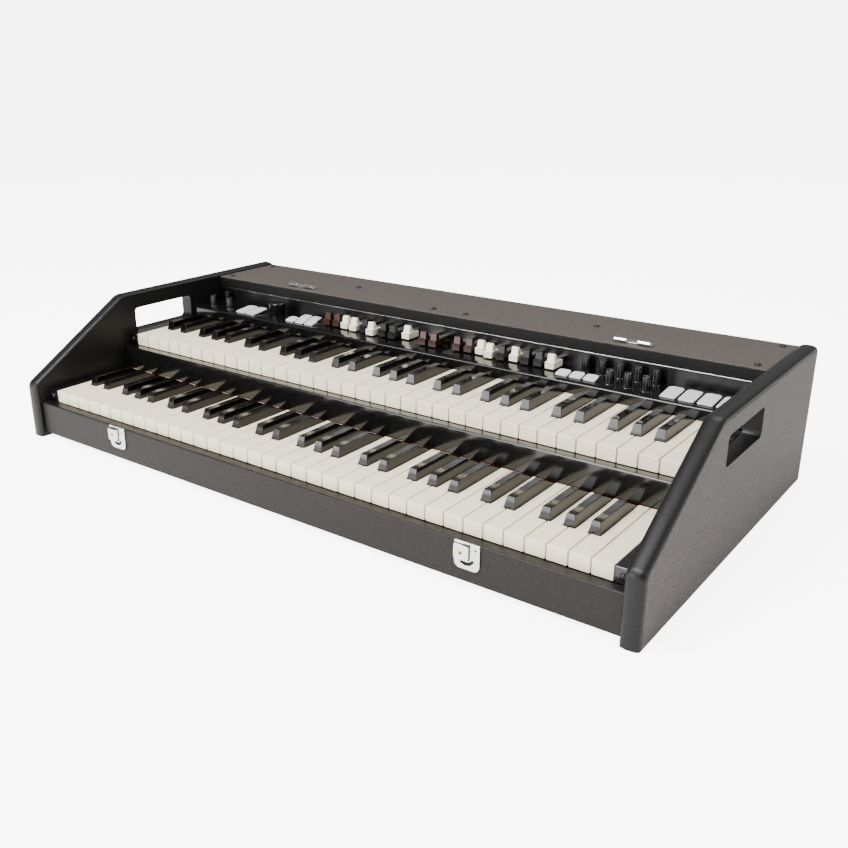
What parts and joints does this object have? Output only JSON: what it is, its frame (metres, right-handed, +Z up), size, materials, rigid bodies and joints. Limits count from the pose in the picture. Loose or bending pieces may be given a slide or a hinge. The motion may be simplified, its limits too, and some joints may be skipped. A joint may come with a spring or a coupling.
{
  "type": "dual-manual organ",
  "caption": "Table-top organ with two stepped keyboards between end boards, a drawbar panel, turning knobs and rocker tabs under a flat lid.",
  "frame": {"origin": "on the surface it stands on, under the middle of its bounding box", "axes": "+X to the player's right along the keys, +Y from the player to the back, +Z up"},
  "size_m": [0.922, 0.488, 0.1771],
  "materials": {
    "naturals": "satin ivory",
    "sharps": "polished black",
    "paint": "textured dark grey paint",
    "rail": "satin dark paint",
    "gloss": "gloss black",
    "board": "plain board",
    "steel": "plain sheet",
    "chrome": "polished",
    "black_plastic": "satin",
    "brown_caps": "polished brown",
    "white_caps": "polished white",
    "circuit": "solder mask"
  },
  "bodies": {
    "case": {"left_cheek": "paint", "right_cheek": "paint", "base_board": "board", "front_rail": "rail", "lower_fallboard": "gloss", "manual_shelf": "steel", "top_lid": "paint", "rear_panel": "rail", "lower_keybed": "naturals", "upper_keybed": "naturals", "control_panel": "gloss", "front_catch_left": "chrome", "front_catch_right": "chrome", "lid_catch_left": "chrome", "lid_catch_right": "chrome", "mains_inlet": "black_plastic", "jack_board": "circuit", "power_supply": "steel", "main_board": "circuit", "lower_end_block_left": "gloss", "lower_end_block_right": "gloss", "upper_end_block_left": "gloss", "upper_end_block_right": "gloss"},
    "lower_key_c4": {"lower_key_c4": "naturals"},
    "lower_key_c_sharp4": {"lower_key_c_sharp4": "sharps"},
    "lower_key_d4": {"lower_key_d4": "naturals"},
    "lower_key_d_sharp4": {"lower_key_d_sharp4": "sharps"},
    "lower_key_e4": {"lower_key_e4": "naturals"},
    "lower_key_f4": {"lower_key_f4": "naturals"},
    "lower_key_f_sharp4": {"lower_key_f_sharp4": "sharps"},
    "lower_key_g4": {"lower_key_g4": "naturals"},
    "lower_key_g_sharp4": {"lower_key_g_sharp4": "sharps"},
    "lower_key_a4": {"lower_key_a4": "naturals"},
    "lower_key_a_sharp4": {"lower_key_a_sharp4": "sharps"},
    "lower_key_b4": {"lower_key_b4": "naturals"},
    "upper_key_c4": {"upper_key_c4": "naturals"},
    "upper_key_c_sharp4": {"upper_key_c_sharp4": "sharps"},
    "upper_key_d4": {"upper_key_d4": "naturals"},
    "upper_key_d_sharp4": {"upper_key_d_sharp4": "sharps"},
    "upper_key_e4": {"upper_key_e4": "naturals"},
    "upper_key_f4": {"upper_key_f4": "naturals"},
    "upper_key_f_sharp4": {"upper_key_f_sharp4": "sharps"},
    "upper_key_g4": {"upper_key_g4": "naturals"},
    "upper_key_g_sharp4": {"upper_key_g_sharp4": "sharps"},
    "upper_key_a4": {"upper_key_a4": "naturals"},
    "upper_key_a_sharp4": {"upper_key_a_sharp4": "sharps"},
    "upper_key_b4": {"upper_key_b4": "naturals"},
    "upper_drawbar_1": {"upper_drawbar_1": "brown_caps"},
    "upper_drawbar_2": {"upper_drawbar_2": "brown_caps"},
    "upper_drawbar_3": {"upper_drawbar_3": "white_caps"},
    "upper_drawbar_4": {"upper_drawbar_4": "white_caps"},
    "upper_drawbar_5": {"upper_drawbar_5": "black_plastic"},
    "upper_drawbar_6": {"upper_drawbar_6": "white_caps"},
    "upper_drawbar_7": {"upper_drawbar_7": "black_plastic"},
    "upper_drawbar_8": {"upper_drawbar_8": "black_plastic"},
    "upper_drawbar_9": {"upper_drawbar_9": "white_caps"},
    "vibrato_knob": {"vibrato_knob": "black_plastic"},
    "volume_knob": {"volume_knob": "black_plastic"},
    "percussion_tab": {"percussion_tab": "white_caps"},
    "power_switch": {"power_switch": "black_plastic"}
  },
  "joints": [
    {"name": "lower_key_c4_press", "type": "hinge", "parent": "case", "child": "lower_key_c4", "pos_m": [-0.08225, -0.022, 0.0616], "axis": [1, 0, 0], "range_deg": [0, 2.87], "stiffness_Nm_per_rad": 4, "springref_deg": -6.88},
    {"name": "lower_key_c_sharp4_press", "type": "hinge", "parent": "case", "child": "lower_key_c_sharp4", "pos_m": [-0.0729, -0.022, 0.0616], "axis": [1, 0, 0], "range_deg": [0, 2.87], "stiffness_Nm_per_rad": 4, "springref_deg": -6.88},
    {"name": "lower_key_d4_press", "type": "hinge", "parent": "case", "child": "lower_key_d4", "pos_m": [-0.05875, -0.022, 0.0616], "axis": [1, 0, 0], "range_deg": [0, 2.87], "stiffness_Nm_per_rad": 4, "springref_deg": -6.88},
    {"name": "lower_key_d_sharp4_press", "type": "hinge", "parent": "case", "child": "lower_key_d_sharp4", "pos_m": [-0.0446, -0.022, 0.0616], "axis": [1, 0, 0], "range_deg": [0, 2.87], "stiffness_Nm_per_rad": 4, "springref_deg": -6.88},
    {"name": "lower_key_e4_press", "type": "hinge", "parent": "case", "child": "lower_key_e4", "pos_m": [-0.03525, -0.022, 0.0616], "axis": [1, 0, 0], "range_deg": [0, 2.87], "stiffness_Nm_per_rad": 4, "springref_deg": -6.88},
    {"name": "lower_key_f4_press", "type": "hinge", "parent": "case", "child": "lower_key_f4", "pos_m": [-0.01175, -0.022, 0.0616], "axis": [1, 0, 0], "range_deg": [0, 2.87], "stiffness_Nm_per_rad": 4, "springref_deg": -6.88},
    {"name": "lower_key_f_sharp4_press", "type": "hinge", "parent": "case", "child": "lower_key_f_sharp4", "pos_m": [-0.0036, -0.022, 0.0616], "axis": [1, 0, 0], "range_deg": [0, 2.87], "stiffness_Nm_per_rad": 4, "springref_deg": -6.88},
    {"name": "lower_key_g4_press", "type": "hinge", "parent": "case", "child": "lower_key_g4", "pos_m": [0.01175, -0.022, 0.0616], "axis": [1, 0, 0], "range_deg": [0, 2.87], "stiffness_Nm_per_rad": 4, "springref_deg": -6.88},
    {"name": "lower_key_g_sharp4_press", "type": "hinge", "parent": "case", "child": "lower_key_g_sharp4", "pos_m": [0.0235, -0.022, 0.0616], "axis": [1, 0, 0], "range_deg": [0, 2.87], "stiffness_Nm_per_rad": 4, "springref_deg": -6.88},
    {"name": "lower_key_a4_press", "type": "hinge", "parent": "case", "child": "lower_key_a4", "pos_m": [0.03525, -0.022, 0.0616], "axis": [1, 0, 0], "range_deg": [0, 2.87], "stiffness_Nm_per_rad": 4, "springref_deg": -6.88},
    {"name": "lower_key_a_sharp4_press", "type": "hinge", "parent": "case", "child": "lower_key_a_sharp4", "pos_m": [0.0506, -0.022, 0.0616], "axis": [1, 0, 0], "range_deg": [0, 2.87], "stiffness_Nm_per_rad": 4, "springref_deg": -6.88},
    {"name": "lower_key_b4_press", "type": "hinge", "parent": "case", "child": "lower_key_b4", "pos_m": [0.05875, -0.022, 0.0616], "axis": [1, 0, 0], "range_deg": [0, 2.87], "stiffness_Nm_per_rad": 4, "springref_deg": -6.88},
    {"name": "upper_key_c4_press", "type": "hinge", "parent": "case", "child": "upper_key_c4", "pos_m": [-0.08225, 0.1243, 0.1118], "axis": [1, 0, 0], "range_deg": [0, 2.87], "stiffness_Nm_per_rad": 4, "springref_deg": -6.88},
    {"name": "upper_key_c_sharp4_press", "type": "hinge", "parent": "case", "child": "upper_key_c_sharp4", "pos_m": [-0.0729, 0.1243, 0.1118], "axis": [1, 0, 0], "range_deg": [0, 2.87], "stiffness_Nm_per_rad": 4, "springref_deg": -6.88},
    {"name": "upper_key_d4_press", "type": "hinge", "parent": "case", "child": "upper_key_d4", "pos_m": [-0.05875, 0.1243, 0.1118], "axis": [1, 0, 0], "range_deg": [0, 2.87], "stiffness_Nm_per_rad": 4, "springref_deg": -6.88},
    {"name": "upper_key_d_sharp4_press", "type": "hinge", "parent": "case", "child": "upper_key_d_sharp4", "pos_m": [-0.0446, 0.1243, 0.1118], "axis": [1, 0, 0], "range_deg": [0, 2.87], "stiffness_Nm_per_rad": 4, "springref_deg": -6.88},
    {"name": "upper_key_e4_press", "type": "hinge", "parent": "case", "child": "upper_key_e4", "pos_m": [-0.03525, 0.1243, 0.1118], "axis": [1, 0, 0], "range_deg": [0, 2.87], "stiffness_Nm_per_rad": 4, "springref_deg": -6.88},
    {"name": "upper_key_f4_press", "type": "hinge", "parent": "case", "child": "upper_key_f4", "pos_m": [-0.01175, 0.1243, 0.1118], "axis": [1, 0, 0], "range_deg": [0, 2.87], "stiffness_Nm_per_rad": 4, "springref_deg": -6.88},
    {"name": "upper_key_f_sharp4_press", "type": "hinge", "parent": "case", "child": "upper_key_f_sharp4", "pos_m": [-0.0036, 0.1243, 0.1118], "axis": [1, 0, 0], "range_deg": [0, 2.87], "stiffness_Nm_per_rad": 4, "springref_deg": -6.88},
    {"name": "upper_key_g4_press", "type": "hinge", "parent": "case", "child": "upper_key_g4", "pos_m": [0.01175, 0.1243, 0.1118], "axis": [1, 0, 0], "range_deg": [0, 2.87], "stiffness_Nm_per_rad": 4, "springref_deg": -6.88},
    {"name": "upper_key_g_sharp4_press", "type": "hinge", "parent": "case", "child": "upper_key_g_sharp4", "pos_m": [0.0235, 0.1243, 0.1118], "axis": [1, 0, 0], "range_deg": [0, 2.87], "stiffness_Nm_per_rad": 4, "springref_deg": -6.88},
    {"name": "upper_key_a4_press", "type": "hinge", "parent": "case", "child": "upper_key_a4", "pos_m": [0.03525, 0.1243, 0.1118], "axis": [1, 0, 0], "range_deg": [0, 2.87], "stiffness_Nm_per_rad": 4, "springref_deg": -6.88},
    {"name": "upper_key_a_sharp4_press", "type": "hinge", "parent": "case", "child": "upper_key_a_sharp4", "pos_m": [0.0506, 0.1243, 0.1118], "axis": [1, 0, 0], "range_deg": [0, 2.87], "stiffness_Nm_per_rad": 4, "springref_deg": -6.88},
    {"name": "upper_key_b4_press", "type": "hinge", "parent": "case", "child": "upper_key_b4", "pos_m": [0.05875, 0.1243, 0.1118], "axis": [1, 0, 0], "range_deg": [0, 2.87], "stiffness_Nm_per_rad": 4, "springref_deg": -6.88},
    {"name": "upper_drawbar_1_slide", "type": "slide", "parent": "case", "child": "upper_drawbar_1", "axis": [0, -1, 0], "range_m": [-0.0052, 0.0208]},
    {"name": "upper_drawbar_2_slide", "type": "slide", "parent": "case", "child": "upper_drawbar_2", "axis": [0, -1, 0], "range_m": [-0.0053, 0.0207]},
    {"name": "upper_drawbar_3_slide", "type": "slide", "parent": "case", "child": "upper_drawbar_3", "axis": [0, -1, 0], "range_m": [-0.0073, 0.0187]},
    {"name": "upper_drawbar_4_slide", "type": "slide", "parent": "case", "child": "upper_drawbar_4", "axis": [0, -1, 0], "range_m": [-0.0097, 0.0163]},
    {"name": "upper_drawbar_5_slide", "type": "slide", "parent": "case", "child": "upper_drawbar_5", "axis": [0, -1, 0], "range_m": [-0.007, 0.019]},
    {"name": "upper_drawbar_6_slide", "type": "slide", "parent": "case", "child": "upper_drawbar_6", "axis": [0, -1, 0], "range_m": [-0.0149, 0.0111]},
    {"name": "upper_drawbar_7_slide", "type": "slide", "parent": "case", "child": "upper_drawbar_7", "axis": [0, -1, 0], "range_m": [-0.009, 0.017]},
    {"name": "upper_drawbar_8_slide", "type": "slide", "parent": "case", "child": "upper_drawbar_8", "axis": [0, -1, 0], "range_m": [-0.011, 0.015]},
    {"name": "upper_drawbar_9_slide", "type": "slide", "parent": "case", "child": "upper_drawbar_9", "axis": [0, -1, 0], "range_m": [-0.0008, 0.0252]},
    {"name": "vibrato_knob_turn", "type": "hinge", "parent": "case", "child": "vibrato_knob", "pos_m": [-0.293, 0.093, 0.1324], "axis": [0, 0, 1], "range_deg": [-75, 75]},
    {"name": "volume_knob_turn", "type": "hinge", "parent": "case", "child": "volume_knob", "pos_m": [-0.381, 0.077, 0.1324], "axis": [0, 0, 1], "range_deg": [-150, 150]},
    {"name": "percussion_tab_rock", "type": "hinge", "parent": "case", "child": "percussion_tab", "pos_m": [0.347, 0.0815, 0.1269], "axis": [-1, 0, 0], "range_deg": [0, 9]},
    {"name": "power_switch_rock", "type": "hinge", "parent": "case", "child": "power_switch", "pos_m": [0.3465, 0.2358, 0.048], "axis": [-1, 0, 0], "range_deg": [0, 16]}
  ]
}
